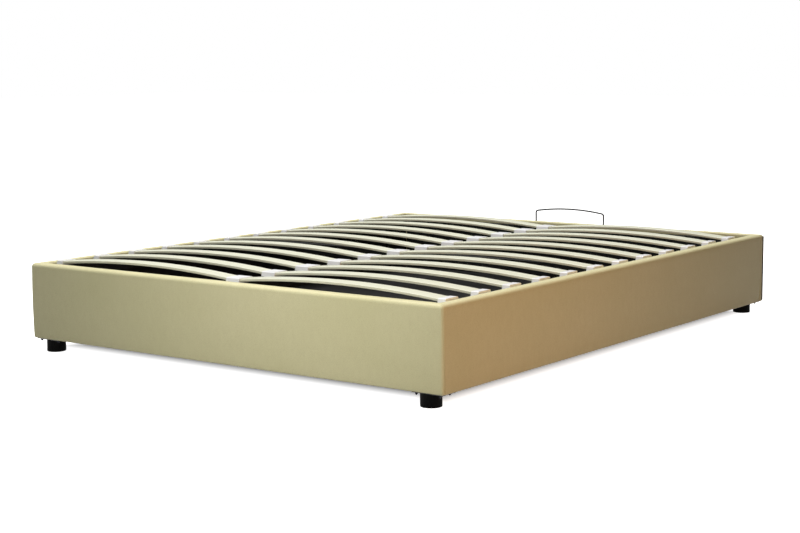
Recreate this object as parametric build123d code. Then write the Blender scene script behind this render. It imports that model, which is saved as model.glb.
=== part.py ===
from build123d import *
import math
import os

# An ottoman storage bed base. X runs across the width, Y from the foot end (low) to the
# head end (high) and Z up, with the floor at zero. Left is low X, seen from the foot end.

# Overall sizes of the upholstered box
base_width = 1600.0
base_length = 2000.0
panel_height = 240.0

# Upholstered panels: a board, padding outside, and a cover that turns in over the top
board_thickness = 22.0
side_padding = 10.0
top_padding = 5.0
cover_thickness = 3.0
cover_return_depth = 45.0
outer_edge_radius = 10.0
inner_edge_radius = 4.0
back_cloth_thickness = 1.0
back_cloth_margin = 12.0
back_return_depth = 35.0

# Round legs, each screwed into a steel plate under a corner
leg_diameter = 60.0
leg_height = 38.0
leg_sole_radius = 2.5
leg_inset_x = 66.0
leg_inset_y = 38.0
leg_stud_diameter = 8.0
leg_stud_length = 13.0
leg_plate_thickness = 3.0
leg_plate_reach_x = 100.0
leg_plate_reach_y = 65.0
leg_plate_margin = 10.0
leg_boss_diameter = 11.0
leg_boss_height = 8.0

# Wood screws, all alike, and the clearance round a fixed round piece
screw_diameter = 5.0
screw_length = 18.0
screw_head_diameter = 11.0
screw_head_height = 3.0
fixed_clearance = 0.05
screw_edge_margin = 11.0

# Steel angles that tie the boards together at the corners
bracket_flange = 30.0
bracket_thickness = 2.0
bracket_height = 120.0
bracket_rise = 30.0

# Floor of the storage space
floor_batten_width = 20.0
floor_batten_height = 12.0
floor_batten_end_gap = 65.0
centre_batten_width = 40.0
floor_thickness = 5.0
floor_side_gap = 8.0
floor_end_gap = 6.0
floor_centre_gap = 4.0

# Lifting platform, a welded frame of steel tube
rail_width = 30.0
rail_height = 40.0
rail_wall = 1.5
rail_drop = 11.0
platform_side_gap = 10.0
platform_foot_gap = 9.0
platform_head_overhang = 25.0
lift_angle = 40.0

# Batten and rubber pads that carry the closed platform at the foot end
rest_batten_height = 30.0
rest_batten_side_gap = 65.0
rest_pad_diameter = 26.0
rest_pad_thickness = 4.0
rest_pad_count = 4
seat_clearance = 0.3

# Sprung slats, bent upwards, in plastic caps
slat_count = 12
slat_width = 53.0
slat_thickness = 8.0
slat_rise = 20.0
slat_edge_radius = 2.0
last_slat_inset = 180.0
cap_base = 2.5
cap_flare = 4.0
cap_wall = 2.0
cap_web = 6.0
cap_reach = 22.0
end_cap_overhang = 2.0
cap_clearance = 0.2
cap_end_clearance = 0.5
cap_edge_radius = 3.5
peg_diameter = 8.0
peg_length = 9.0
peg_clearance = 0.2

# Hinge at the head end: a plate on each side board and an ear on each side rail
hinge_plate_gap = 18.0
hinge_drop = 19.0
hinge_plate_thickness = 3.0
hinge_plate_margin = 25.0
ear_thickness = 4.0
ear_radius = 16.0
ear_lap = 30.0
hinge_pin_diameter = 10.0
hinge_pin_head_diameter = 18.0
hinge_pin_head_height = 4.0
pivot_clearance = 0.05
side_clearance = 0.3

# Gas struts
strut_base_reach = 40.0
strut_floor_gap = 20.0
strut_top_reach = 350.0
strut_body_diameter = 28.0
strut_body_wall = 1.5
strut_gland_diameter = 18.0
strut_gland_length = 6.0
strut_rod_diameter = 10.0
strut_piston_diameter = 17.0
strut_piston_length = 10.0
strut_eye_diameter = 24.0
strut_eye_width = 12.0
strut_neck_diameter = 12.0
strut_neck_length = 13.0
strut_rest_show = 6.0
strut_stroke_margin = 20.0
strut_stud_diameter = 8.0
strut_collar_diameter = 14.0
strut_collar_length = 5.5
strut_clip_diameter = 14.0
strut_clip_thickness = 1.5

# Mattress stop bar that plugs into the top of the head board
stop_bar_diameter = 6.0
stop_bar_width = 300.0
stop_bar_shoulder = 40.0
stop_bar_crown = 12.0
stop_bar_corner_radius = 9.0
stop_bar_plug_depth = 40.0
stop_bar_inset = 8.0

# Heights
panel_bottom = leg_height + leg_plate_thickness
panel_top = panel_bottom + panel_height
board_bottom = panel_bottom + cover_thickness
board_top = panel_top - top_padding
cover_return_bottom = panel_top - cover_return_depth
rail_top = panel_top - rail_drop
rail_bottom = rail_top - rail_height
floor_underside = board_bottom + floor_batten_height
floor_top = floor_underside + floor_thickness
rest_pad_top = rail_bottom - seat_clearance
rest_batten_top = rest_pad_top - rest_pad_thickness
bracket_bottom = board_bottom + bracket_rise
hinge_z = rail_bottom - hinge_drop
slat_seat = rail_top + cap_base

# Places across the width and along the length
half_width = base_width / 2
half_length = base_length / 2
panel_thickness = side_padding + board_thickness + cover_thickness
inner_half_width = half_width - panel_thickness
inner_half_length = half_length - panel_thickness
board_inner_x = inner_half_width + cover_thickness
board_outer_x = half_width - side_padding
end_board_inner_y = inner_half_length + cover_thickness
foot_board_outer_y = half_length - side_padding
head_board_outer_y = half_length - back_cloth_thickness - cover_thickness
head_cover_back_y = half_length - back_cloth_thickness
rail_outer_x = inner_half_width - platform_side_gap
rail_inner_x = rail_outer_x - rail_width
rest_batten_end = inner_half_width - rest_batten_side_gap
leg_x = half_width - leg_inset_x
leg_y = half_length - leg_inset_y
hinge_y = end_board_inner_y - bracket_flange - hinge_plate_gap - hinge_plate_margin
platform_foot_y = -inner_half_length + platform_foot_gap
platform_head_y = hinge_y + platform_head_overhang
end_peg_x = (rail_inner_x + rail_outer_x) / 2
stop_bar_y = head_board_outer_y - stop_bar_inset

# Slat layout: the first caps stand behind the foot rail, which closes the side rails' ends
cap_width = slat_width + 2 * (cap_clearance + cap_wall)
foot_rail_high_y = platform_foot_y + rail_width
first_slat_y = foot_rail_high_y + cap_width / 2
last_slat_y = half_length - last_slat_inset
slat_pitch = (last_slat_y - first_slat_y) / (slat_count - 1)
slat_places = [first_slat_y + slat_pitch * index for index in range(slat_count)]
end_cap_outer_x = rail_outer_x + end_cap_overhang
slat_inner_x = cap_web / 2 + cap_end_clearance
slat_outer_x = end_cap_outer_x - cap_wall - cap_end_clearance
slat_middle_x = (slat_inner_x + slat_outer_x) / 2
slat_half_span = slat_outer_x - slat_middle_x
slat_radius = (slat_half_span**2 + slat_rise**2) / (2 * slat_rise)
cap_mouth_x = slat_outer_x - cap_reach
cap_slope_rise = (
    math.sqrt(slat_radius**2 - (cap_mouth_x - slat_middle_x) ** 2) + slat_rise - slat_radius
)
cap_top = slat_seat + cap_slope_rise + slat_thickness + cap_wall
centre_cap_half = slat_inner_x + cap_reach
foot_rail_middle_y = platform_foot_y + rail_width / 2

# Hinge and strut layout, worked out on the right-hand side
plate_inner_x = board_inner_x - hinge_plate_thickness
ear_outer_x = rail_outer_x + ear_thickness
strut_eye_outer_x = rail_outer_x - strut_collar_length - side_clearance
strut_x = strut_eye_outer_x - strut_eye_width / 2
strut_base_y = hinge_y - strut_base_reach
strut_base_z = floor_top + strut_floor_gap
plate_low_y = strut_base_y - hinge_plate_margin
plate_high_y = hinge_y + hinge_plate_margin
plate_low_z = strut_base_z - strut_eye_diameter / 2
plate_high_z = cover_return_bottom - side_clearance
strut_top_y = hinge_y - strut_top_reach
strut_top_z = hinge_z
strut_run = strut_base_y - strut_top_y
strut_climb = strut_top_z - strut_base_z
strut_rest_length = math.hypot(strut_run, strut_climb)
strut_angle = math.degrees(math.atan2(strut_climb, strut_run))
lift = math.radians(lift_angle)
strut_open_run = strut_top_reach * math.cos(lift) - strut_base_reach
strut_open_climb = strut_top_reach * math.sin(lift) + strut_climb
strut_stroke = math.hypot(strut_open_run, strut_open_climb) - strut_rest_length
strut_eye_radius = strut_eye_diameter / 2
strut_body_start = strut_eye_radius + strut_neck_length
strut_body_end = strut_rest_length - strut_body_start - strut_rest_show
strut_rod_length = (
    strut_rest_length - strut_body_end + strut_gland_length + strut_stroke + strut_stroke_margin
)


def block(low, high):
    """A box between two opposite corners."""
    size = [top - bottom for bottom, top in zip(low, high)]
    return Pos(*low) * Box(*size, align=(Align.MIN, Align.MIN, Align.MIN))


def rod_x(diameter, start_x, end_x, y, z):
    """A round rod along X."""
    turned = Cylinder(diameter / 2, end_x - start_x, align=(Align.CENTER, Align.CENTER, Align.MIN))
    return Pos(start_x, y, z) * Rot(0, 90, 0) * turned


def rod_z(diameter, x, y, low_z, high_z):
    """A round rod along Z."""
    upright = Cylinder(diameter / 2, high_z - low_z, align=(Align.CENTER, Align.CENTER, Align.MIN))
    return Pos(x, y, low_z) * upright


def to_left(shape):
    """The same shape on the other side of the bed."""
    return mirror(shape, about=Plane.YZ)


def to_foot(shape):
    """The same shape at the other end of the bed."""
    return mirror(shape, about=Plane.XZ)


def four_corners(shape):
    """The shape in all four corners, made in the right head corner."""
    head_pair = [shape, to_left(shape)]
    return head_pair + [to_foot(item) for item in head_pair]


def joined(solids):
    """A union of touching solids."""
    result = solids[0]
    for item in solids[1:]:
        result = result + item
    return result


# Screws: each place is its point on the plate's outer face and the way that its head looks
def screw_at(place, diameter_growth):
    """One wood screw with its pan head, its point inside the board."""
    (x, y, z), direction = place
    shank_radius = screw_diameter / 2 + diameter_growth
    head_radius = screw_head_diameter / 2
    shank = Cylinder(shank_radius, screw_length, align=(Align.CENTER, Align.CENTER, Align.MAX))
    head = Cylinder(head_radius, screw_head_height, align=(Align.CENTER, Align.CENTER, Align.MIN))
    screw = shank + head if diameter_growth == 0 else shank
    return Plane(origin=(x, y, z), z_dir=direction) * screw


def leg_plate_screw_places():
    """Three screws in each leg plate, up into the board edges, clear of the leg."""
    outer_x = board_outer_x - screw_edge_margin
    outer_y = foot_board_outer_y - screw_edge_margin
    inner_x = half_width - leg_plate_margin - leg_plate_reach_x + screw_edge_margin
    inner_y = half_length - leg_plate_margin - leg_plate_reach_y + screw_edge_margin
    points = [(outer_x, outer_y), (inner_x, outer_y), (outer_x, inner_y)]
    return [((x, y, leg_height), (0, 0, -1)) for x, y in points]


def bracket_screw_places():
    """Two screws in each flange of a corner angle."""
    middle_x = board_inner_x - bracket_flange / 2
    middle_y = end_board_inner_y - bracket_flange / 2
    face_x = board_inner_x - bracket_thickness
    face_y = end_board_inner_y - bracket_thickness
    low_z = bracket_bottom + bracket_flange / 2
    high_z = bracket_bottom + bracket_height - bracket_flange / 2
    places = []
    for z in (low_z, high_z):
        places.append(((face_x, middle_y, z), (-1, 0, 0)))
        places.append(((middle_x, face_y, z), (0, -1, 0)))
    return places


def hinge_plate_screw_places():
    """A screw near each corner of a hinge plate."""
    places = []
    for y in (plate_low_y + screw_edge_margin, plate_high_y - screw_edge_margin):
        for z in (plate_low_z + screw_edge_margin, plate_high_z - screw_edge_margin):
            places.append(((plate_inner_x, y, z), (-1, 0, 0)))
    return places


def corner_screw_shapes(diameter_growth):
    """Every screw of the four corners, or the holes for them."""
    shapes = []
    for place in leg_plate_screw_places() + bracket_screw_places():
        shapes += four_corners(screw_at(place, diameter_growth))
    return shapes


def hinge_screw_shapes(diameter_growth):
    """Every screw of the two hinge plates, or the holes for them."""
    shapes = []
    for place in hinge_plate_screw_places():
        right = screw_at(place, diameter_growth)
        shapes += [right, to_left(right)]
    return shapes


def screws():
    return Compound(children=corner_screw_shapes(0) + hinge_screw_shapes(0))


screw_holes = corner_screw_shapes(fixed_clearance) + hinge_screw_shapes(fixed_clearance)


def drilled(shape):
    """The shape with the screw holes that reach into it."""
    box = shape.bounding_box()
    result = shape
    for hole in screw_holes:
        reach = hole.bounding_box()
        apart = (
            reach.min.X > box.max.X
            or reach.max.X < box.min.X
            or reach.min.Y > box.max.Y
            or reach.max.Y < box.min.Y
            or reach.min.Z > box.max.Z
            or reach.max.Z < box.min.Z
        )
        if not apart:
            result = result - hole
    return result


# Boards of the box
def side_board_blank():
    low = (board_inner_x, -inner_half_length, board_bottom)
    return block(low, (board_outer_x, inner_half_length, board_top))


def foot_board_blank():
    low = (-board_outer_x, -foot_board_outer_y, board_bottom)
    return block(low, (board_outer_x, -end_board_inner_y, board_top))


def head_board_blank():
    low = (-board_outer_x, end_board_inner_y, board_bottom)
    return block(low, (board_outer_x, head_board_outer_y, board_top))


def side_board():
    return drilled(side_board_blank())


def foot_board():
    return drilled(foot_board_blank())


def head_board():
    board = drilled(head_board_blank())
    for hole in stop_bar_holes():
        board = board - hole
    return board


# Covers of the boards: padding outside, thin cloth turned in over the top and under the edge
def cover_ring():
    """All four covers as one piece: a rounded ring, less the boards and what they line inside."""
    outer_low = (-half_width, -half_length, panel_bottom)
    outer = block(outer_low, (half_width, head_cover_back_y, panel_top))
    top_edges = outer.faces().sort_by(Axis.Z)[-1].edges()
    outer = fillet(outer.edges().filter_by(Axis.Z) + top_edges, outer_edge_radius)
    inner_low = (-inner_half_width, -inner_half_length, panel_bottom)
    ring = outer - block(inner_low, (inner_half_width, inner_half_length, panel_top))
    top_loops = ring.faces().sort_by(Axis.Z)[-1].inner_wires()
    ring = fillet(top_loops[0].edges(), inner_edge_radius)
    open_low = (-board_inner_x, -end_board_inner_y, panel_bottom)
    ring = ring - block(open_low, (board_inner_x, end_board_inner_y, cover_return_bottom))
    for board in (side_board_blank(), to_left(side_board_blank()), foot_board_blank()):
        ring = ring - board
    return ring - head_board_blank()


whole_cover = cover_ring()


def cover_within(outline):
    """The part of the covers that stands over an outline on the floor."""
    column = extrude(make_face(Polyline(*outline, close=True)), panel_top)
    return drilled(whole_cover & column)


def side_cover():
    """Mitred to the foot cover at the foot corner, and square against the head cover."""
    outline = [
        (inner_half_width, inner_half_length),
        (inner_half_width, -inner_half_length),
        (half_width, -half_length),
        (half_width, inner_half_length),
    ]
    return cover_within(outline)


def foot_cover():
    outline = [
        (-inner_half_width, -inner_half_length),
        (inner_half_width, -inner_half_length),
        (half_width, -half_length),
        (-half_width, -half_length),
    ]
    return cover_within(outline)


def head_cover():
    outline = [
        (-half_width, inner_half_length),
        (half_width, inner_half_length),
        (half_width, half_length),
        (-half_width, half_length),
    ]
    cover = cover_within(outline)
    low = (-half_width + back_return_depth, head_board_outer_y, panel_bottom + back_return_depth)
    high = (half_width - back_return_depth, head_cover_back_y, panel_top - back_return_depth)
    cover = cover - block(low, high)
    for hole in stop_bar_holes():
        cover = cover - hole
    return cover


def back_cloth():
    low = (-half_width + back_cloth_margin, head_cover_back_y, panel_bottom + back_cloth_margin)
    high = (half_width - back_cloth_margin, half_length, panel_top - back_cloth_margin)
    return block(low, high)


# Legs
def leg():
    foot = rod_z(leg_diameter, leg_x, leg_y, 0, leg_height)
    foot = fillet(foot.edges().sort_by(Axis.Z)[:1], leg_sole_radius)
    stud = rod_z(leg_stud_diameter, leg_x, leg_y, leg_height, leg_height + leg_stud_length)
    return foot + stud


def leg_plate():
    outer_x = half_width - leg_plate_margin
    outer_y = half_length - leg_plate_margin
    low = (outer_x - leg_plate_reach_x, outer_y - leg_plate_reach_y, leg_height)
    plate = block(low, (outer_x, outer_y, panel_bottom))
    boss = rod_z(leg_boss_diameter, leg_x, leg_y, panel_bottom, panel_bottom + leg_boss_height)
    hole_diameter = leg_stud_diameter + 2 * fixed_clearance
    hole = rod_z(hole_diameter, leg_x, leg_y, leg_height, panel_bottom + leg_boss_height)
    return drilled(plate + boss - hole)


def corner_bracket():
    low = (board_inner_x - bracket_flange, end_board_inner_y - bracket_flange, bracket_bottom)
    high = (board_inner_x, end_board_inner_y, bracket_bottom + bracket_height)
    inner_high = (board_inner_x - bracket_thickness, end_board_inner_y - bracket_thickness, high[2])
    return drilled(block(low, high) - block(low, inner_high))


# Storage floor
def floor_battens():
    batten_end = inner_half_length - floor_batten_end_gap
    low = (board_inner_x - floor_batten_width, -batten_end, board_bottom)
    right = block(low, (board_inner_x, batten_end, floor_underside))
    middle_low = (-centre_batten_width / 2, -end_board_inner_y, board_bottom)
    middle_high = (centre_batten_width / 2, end_board_inner_y, floor_underside)
    return Compound(children=[right, to_left(right), block(middle_low, middle_high)])


def floor_panels():
    floor_end = end_board_inner_y - floor_end_gap
    low = (floor_centre_gap / 2, -floor_end, floor_underside)
    right = block(low, (board_inner_x - floor_side_gap, floor_end, floor_top))
    return Compound(children=[right, to_left(right)])


# Rest for the closed platform
def rest_batten():
    low = (-rest_batten_end, -end_board_inner_y, rest_batten_top - rest_batten_height)
    return block(low, (rest_batten_end, foot_rail_high_y, rest_batten_top))


def rest_pads():
    spacing = 2 * rest_batten_end / rest_pad_count
    first_x = -rest_batten_end + spacing / 2
    pads = []
    for index in range(rest_pad_count):
        pad_x = first_x + spacing * index
        pads.append(rod_z(rest_pad_diameter, pad_x, foot_rail_middle_y, rest_batten_top, rest_pad_top))
    return Compound(children=pads)


# Hinge and strut fittings
def hinge_plate():
    """The plate on the side board, with the stud for the foot of the gas strut."""
    low = (plate_inner_x, plate_low_y, plate_low_z)
    plate = block(low, (board_inner_x, plate_high_y, plate_high_z))
    hole_diameter = hinge_pin_diameter + 2 * fixed_clearance
    hole = rod_x(hole_diameter, plate_inner_x, board_inner_x, hinge_y, hinge_z)
    stud = strut_stud(plate_inner_x, strut_base_y, strut_base_z)
    return drilled(plate - hole + stud)


def strut_stud(root_x, y, z):
    """A stud that points inwards, with a collar outside the strut's eye and a clip inside it."""
    clip_outer_x = strut_x - strut_eye_width / 2 - side_clearance
    clip_inner_x = clip_outer_x - strut_clip_thickness
    stud = rod_x(strut_stud_diameter, clip_inner_x, root_x, y, z)
    collar = rod_x(strut_collar_diameter, strut_eye_outer_x + side_clearance, root_x, y, z)
    clip = rod_x(strut_clip_diameter, clip_inner_x, clip_outer_x, y, z)
    return joined([stud, collar, clip])


def hinge_pin():
    """A shouldered rivet: held in the plate, with the rail's ear between shoulder and head."""
    shoulder_x = ear_outer_x + side_clearance
    head_x = rail_outer_x - side_clearance
    shank = rod_x(hinge_pin_diameter, head_x, board_inner_x, hinge_y, hinge_z)
    shoulder = rod_x(hinge_pin_head_diameter, shoulder_x, plate_inner_x, hinge_y, hinge_z)
    head_end_x = head_x - hinge_pin_head_height
    head = rod_x(hinge_pin_head_diameter, head_end_x, head_x, hinge_y, hinge_z)
    return joined([shank, shoulder, head])


def hinge_pins():
    right = hinge_pin()
    return Compound(children=[right, to_left(right)])


def hanging_ear(y, z):
    """A plate welded on the outer side of a side rail, round at its lower end."""
    low = (rail_outer_x, y - ear_radius, z)
    plate = block(low, (ear_outer_x, y + ear_radius, rail_bottom + ear_lap))
    return plate + rod_x(2 * ear_radius, rail_outer_x, ear_outer_x, y, z)


# Platform frame
def tube(low, high, along):
    """A rectangular steel tube between two corners, open at its ends."""
    inner_low = [value if axis == along else value + rail_wall for axis, value in enumerate(low)]
    inner_high = [value if axis == along else value - rail_wall for axis, value in enumerate(high)]
    return block(low, high) - block(inner_low, inner_high)


def peg_holes(x, places):
    """Holes in a rail's top wall for the pegs of a row of caps."""
    diameter = peg_diameter + 2 * peg_clearance
    return [rod_z(diameter, x, y, rail_top - rail_wall, rail_top) for y in places]


def side_rail():
    low = (rail_inner_x, platform_foot_y, rail_bottom)
    rail = tube(low, (rail_outer_x, platform_head_y, rail_top), 1)
    for hole in peg_holes(end_peg_x, slat_places):
        rail = rail - hole
    hinge_ear = hanging_ear(hinge_y, hinge_z)
    hole_diameter = hinge_pin_diameter + 2 * pivot_clearance
    hinge_ear = hinge_ear - rod_x(hole_diameter, rail_outer_x, ear_outer_x, hinge_y, hinge_z)
    strut_ear = hanging_ear(strut_top_y, strut_top_z)
    stud = strut_stud(rail_outer_x, strut_top_y, strut_top_z)
    return joined([rail, hinge_ear, strut_ear, stud])


def foot_rail():
    low = (-rail_inner_x, platform_foot_y, rail_bottom)
    return tube(low, (rail_inner_x, foot_rail_high_y, rail_top), 0)


def head_rail():
    low = (-rail_inner_x, platform_head_y - rail_width, rail_bottom)
    return tube(low, (rail_inner_x, platform_head_y, rail_top), 0)


def centre_rail():
    low = (-rail_width / 2, foot_rail_high_y, rail_bottom)
    high = (rail_width / 2, platform_head_y - rail_width, rail_top)
    rail = tube(low, high, 1)
    for hole in peg_holes(0, slat_places):
        rail = rail - hole
    return rail


def cross_rails():
    middle_y = (platform_foot_y + platform_head_y) / 2
    low = (rail_width / 2, middle_y - rail_width / 2, rail_bottom)
    right = tube(low, (rail_inner_x, middle_y + rail_width / 2, rail_top), 0)
    return Compound(children=[right, to_left(right)])


# Slats and their caps
def slat_room(clearance):
    """The room of a slat at Y zero on the right, grown on every side by a clearance."""
    low_z = slat_seat - clearance
    high_z = slat_seat + slat_thickness + clearance
    inner_x = slat_inner_x - clearance
    outer_x = slat_outer_x + clearance
    under = ThreePointArc((inner_x, 0, low_z), (slat_middle_x, 0, low_z + slat_rise), (outer_x, 0, low_z))
    over = ThreePointArc((inner_x, 0, high_z), (slat_middle_x, 0, high_z + slat_rise), (outer_x, 0, high_z))
    outline = Wire([under, Line(under @ 1, over @ 1), over, Line(over @ 0, under @ 0)])
    width = slat_width + 2 * clearance
    return extrude(Face(outline), width / 2, dir=(0, 1, 0), both=True)


def slat():
    """A slat at Y zero on the right: a rounded section turned about the centre of its bend."""
    half_turn = math.degrees(math.asin(slat_half_span / (slat_radius + slat_thickness)))
    bend_z = slat_seat + slat_rise - slat_radius
    bend = Axis((slat_middle_x, 0, bend_z), (0, 1, 0))
    crown_z = slat_seat + slat_rise + slat_thickness / 2
    crown = Plane(origin=(slat_middle_x, 0, crown_z), x_dir=(0, 1, 0), z_dir=(1, 0, 0))
    section = crown * RectangleRounded(slat_width, slat_thickness, slat_edge_radius)
    return revolve(section.rotate(bend, -half_turn), bend, 2 * half_turn)


def cap_blank(start_x, end_x):
    """A solid cap at Y zero: leaning flanks and rounded upper edges."""
    half = cap_width / 2
    foot_half = half + cap_flare
    outline = Polyline(
        (start_x, -foot_half, rail_top), (start_x, foot_half, rail_top),
        (start_x, half, cap_top), (start_x, -half, cap_top), close=True
    )
    cap = extrude(make_face(outline), end_x - start_x, dir=(1, 0, 0))
    return fillet(cap.edges().filter_by(Axis.X).sort_by(Axis.Z)[-2:], cap_edge_radius)


def end_cap():
    """A cap at Y zero on the right-hand rail, with a peg into the rail."""
    cap = cap_blank(cap_mouth_x, end_cap_outer_x) - slat_room(cap_clearance)
    return cap + rod_z(peg_diameter, end_peg_x, 0, rail_top - peg_length, rail_top)


def centre_cap():
    """A double cap at Y zero on the centre rail, with a web between the two slats."""
    pocket = slat_room(cap_clearance)
    cap = cap_blank(-centre_cap_half, centre_cap_half) - pocket - to_left(pocket)
    return cap + rod_z(peg_diameter, 0, 0, rail_top - peg_length, rail_top)


def row_of(shape):
    """Copies of a shape at every slat's place."""
    return [Pos(0, y, 0) * shape for y in slat_places]


def end_caps():
    right = end_cap()
    return Compound(children=row_of(right) + row_of(to_left(right)))


def centre_caps():
    return Compound(children=row_of(centre_cap()))


# Gas struts, made along X from the origin and then set between their studs
def strut_eye():
    eye = Cylinder(strut_eye_radius, strut_eye_width)
    bore = Cylinder(strut_stud_diameter / 2 + pivot_clearance, strut_eye_width)
    return Rot(90, 0, 0) * (eye - bore)


def along(diameter, start, end):
    """A round length of a strut, measured from its lower stud."""
    return rod_x(diameter, start, end, 0, 0)


def placed_strut(shape):
    """Turns a strut from the X axis to its slope between the studs on the right-hand side."""
    return Pos(strut_x, strut_base_y, strut_base_z) * Rot(0, 0, -90) * Rot(0, -strut_angle, 0) * shape


def strut_cylinder():
    neck = along(strut_neck_diameter, 0, strut_body_start)
    bore_hole = Rot(90, 0, 0) * Cylinder(strut_stud_diameter / 2 + pivot_clearance, strut_eye_width)
    body = along(strut_body_diameter, strut_body_start, strut_body_end)
    bore_start = strut_body_start + strut_gland_length
    bore_end = strut_body_end - strut_gland_length
    bore = along(strut_body_diameter - 2 * strut_body_wall, bore_start, bore_end)
    gland = along(strut_gland_diameter, bore_end, strut_body_end)
    shape = joined([strut_eye(), neck, body]) - bore - gland - bore_hole
    return placed_strut(shape)


def strut_rod():
    start = strut_rest_length - strut_rod_length
    eye = Pos(strut_rest_length, 0, 0) * strut_eye()
    hole = Cylinder(strut_stud_diameter / 2 + pivot_clearance, strut_eye_width)
    bore_hole = Pos(strut_rest_length, 0, 0) * Rot(90, 0, 0) * hole
    rod = along(strut_rod_diameter, start, strut_rest_length)
    neck_start = strut_rest_length - strut_eye_radius - strut_neck_length
    neck = along(strut_neck_diameter, neck_start, strut_rest_length)
    piston = along(strut_piston_diameter, start, start + strut_piston_length)
    shape = joined([rod, eye, neck, piston]) - bore_hole
    return placed_strut(shape)


# Mattress stop bar
def stop_bar_holes():
    """Sockets in the head board's top edge and in the cover above them."""
    diameter = stop_bar_diameter + 2 * fixed_clearance
    half = stop_bar_width / 2
    low_z = board_top - stop_bar_plug_depth
    return [rod_z(diameter, x, stop_bar_y, low_z, panel_top) for x in (-half, half)]


def mattress_stop_bar():
    half = stop_bar_width / 2
    low_z = board_top - stop_bar_plug_depth
    shoulder_z = panel_top + stop_bar_shoulder
    left_leg = Line((-half, stop_bar_y, low_z), (-half, stop_bar_y, shoulder_z))
    crown_point = (0, stop_bar_y, shoulder_z + stop_bar_crown)
    crown = ThreePointArc(left_leg @ 1, crown_point, (half, stop_bar_y, shoulder_z))
    right_leg = Line(crown @ 1, (half, stop_bar_y, low_z))
    path = Wire([left_leg, crown, right_leg])
    corners = path.vertices().sort_by(Axis.Z)[-2:]
    path = path.fillet_2d(stop_bar_corner_radius, corners)
    start = Plane(origin=(-half, stop_bar_y, low_z), z_dir=(0, 0, 1))
    return sweep(start * Circle(stop_bar_diameter / 2), path=path)


def write(name, shape):
    export_step(shape, os.path.join("parts", name + ".step"))


def write_pair(name, right):
    write(name + "_right", right)
    write(name + "_left", to_left(right))


def main():
    os.makedirs("parts", exist_ok=True)
    write_pair("side_board", side_board())
    write_pair("side_cover", side_cover())
    write("foot_board", foot_board())
    write("foot_cover", foot_cover())
    write("head_board", head_board())
    write("head_cover", head_cover())
    write("back_cloth", back_cloth())
    write_pair("leg_head", leg())
    write_pair("leg_foot", to_foot(leg()))
    write("leg_plates", Compound(children=four_corners(leg_plate())))
    write("corner_brackets", Compound(children=four_corners(corner_bracket())))
    write("screws", screws())
    write("floor_battens", floor_battens())
    write("floor_panels", floor_panels())
    write("rest_batten", rest_batten())
    write("rest_pads", rest_pads())
    write_pair("hinge_plate", hinge_plate())
    write("hinge_pins", hinge_pins())
    write("mattress_stop_bar", mattress_stop_bar())
    write_pair("side_rail", side_rail())
    write("foot_rail", foot_rail())
    write("head_rail", head_rail())
    write("centre_rail", centre_rail())
    write("cross_rails", cross_rails())
    write("end_caps", end_caps())
    write("centre_caps", centre_caps())
    one_slat = slat()
    for index, place in enumerate(slat_places):
        write_pair("slat_" + format(index + 1, "02d"), Pos(0, place, 0) * one_slat)
    write_pair("strut_cylinder", strut_cylinder())
    write_pair("strut_rod", strut_rod())


main()
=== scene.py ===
import math
import random

import bmesh
import bpy
from mathutils import Matrix, Vector, noise


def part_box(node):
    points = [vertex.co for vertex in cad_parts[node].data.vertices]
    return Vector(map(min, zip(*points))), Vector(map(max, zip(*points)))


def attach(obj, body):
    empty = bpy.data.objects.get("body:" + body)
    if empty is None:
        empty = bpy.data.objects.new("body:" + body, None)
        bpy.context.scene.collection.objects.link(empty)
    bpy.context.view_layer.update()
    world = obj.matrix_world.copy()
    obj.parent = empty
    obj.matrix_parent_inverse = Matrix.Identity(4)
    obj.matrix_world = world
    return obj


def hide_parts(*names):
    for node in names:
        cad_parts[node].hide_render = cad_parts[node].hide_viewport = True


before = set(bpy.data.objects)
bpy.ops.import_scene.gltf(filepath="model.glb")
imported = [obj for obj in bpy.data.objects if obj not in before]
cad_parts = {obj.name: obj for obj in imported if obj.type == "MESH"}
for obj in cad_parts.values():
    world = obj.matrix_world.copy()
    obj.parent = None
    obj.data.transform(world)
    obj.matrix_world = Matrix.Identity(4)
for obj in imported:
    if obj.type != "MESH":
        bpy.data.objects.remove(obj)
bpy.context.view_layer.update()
mm = 0.001

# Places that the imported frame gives, in metres
cover_low, cover_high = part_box("side_cover_right")
head_low, head_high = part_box("head_cover")
side_board_low, side_board_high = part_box("side_board_right")
slat_low, slat_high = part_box("slat_01_right")
foot_rail_low, foot_rail_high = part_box("foot_rail")
head_rail_low, head_rail_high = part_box("head_rail")
cross_low, cross_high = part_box("cross_rails")
centre_rail_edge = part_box("centre_rail")[1].x
half_width = cover_high.x
half_length = -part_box("foot_cover")[0].y
panel_bottom = cover_low.z
panel_top = cover_high.z
panel_height = panel_top - panel_bottom
panel_thickness = cover_high.x - cover_low.x
rail_width = foot_rail_high.y - foot_rail_low.y
rail_height = foot_rail_high.z - foot_rail_low.z

# Slats
slat_thickness = 8 * mm
slat_rise = slat_high.z - slat_low.z - slat_thickness
ply_count = 5

# Upholstery
return_height = 45 * mm
return_bottom = panel_top - return_height
top_radius = 12 * mm
bottom_radius = 5 * mm
inner_radius = 5 * mm
front_edge_radius = 2 * mm
upright_radius = 9 * mm
back_upright_radius = 8 * mm
hem_radius = 1.4 * mm
cloth_fit = 0.1 * mm
cloth_thickness = 2.5 * mm
face_crown = 1.4 * mm
top_crown = 0.5 * mm
seam_roll = 2.2 * mm
joint_roll = 6.0 * mm
thin_sink = 1.2 * mm
deep_sink = 3.0 * mm
seam_lean_top = -3 * mm
seam_lean_bottom = 8 * mm
back_margin = 35 * mm
staple_pitch = 50 * mm

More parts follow.
